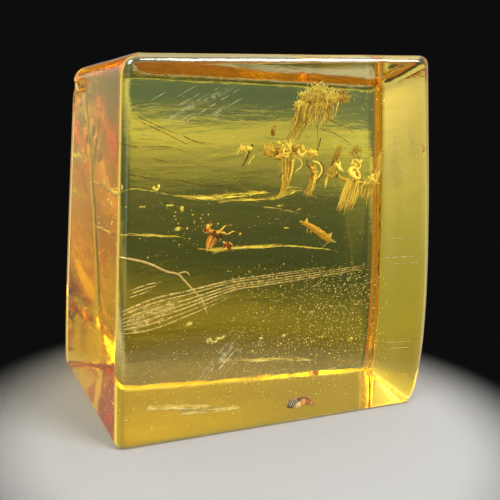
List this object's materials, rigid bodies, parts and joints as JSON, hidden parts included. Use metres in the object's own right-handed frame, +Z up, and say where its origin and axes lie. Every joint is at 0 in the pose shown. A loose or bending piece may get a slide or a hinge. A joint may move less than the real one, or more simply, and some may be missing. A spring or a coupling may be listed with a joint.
{
  "type": "amber fossil",
  "caption": "Polished block of clear amber standing on its flat underside, with a flower sprig and small insects sealed inside.",
  "frame": {"origin": "middle of the underside's bounding rectangle, on the surface it stands on", "axes": "+X across the wide front face to the right, +Y into the block from the front face, +Z up"},
  "size_m": [0.015, 0.01, 0.016],
  "materials": {
    "amber": "clear polished amber, yellow to orange",
    "flower": "dry golden-brown plant fibres",
    "fly": "dark red-brown insect shell",
    "midge": "pale orange insect body",
    "beetle": "blue-black insect shell"
  },
  "bodies": {
    "root": {"amber_front": "amber", "amber_back": "amber", "flower_tuft": "flower", "floret_row": "flower", "stamen_brush": "flower", "plant_fragment": "flower", "fly": "fly", "midge": "midge", "beetle": "beetle"}
  },
  "joints": []
}
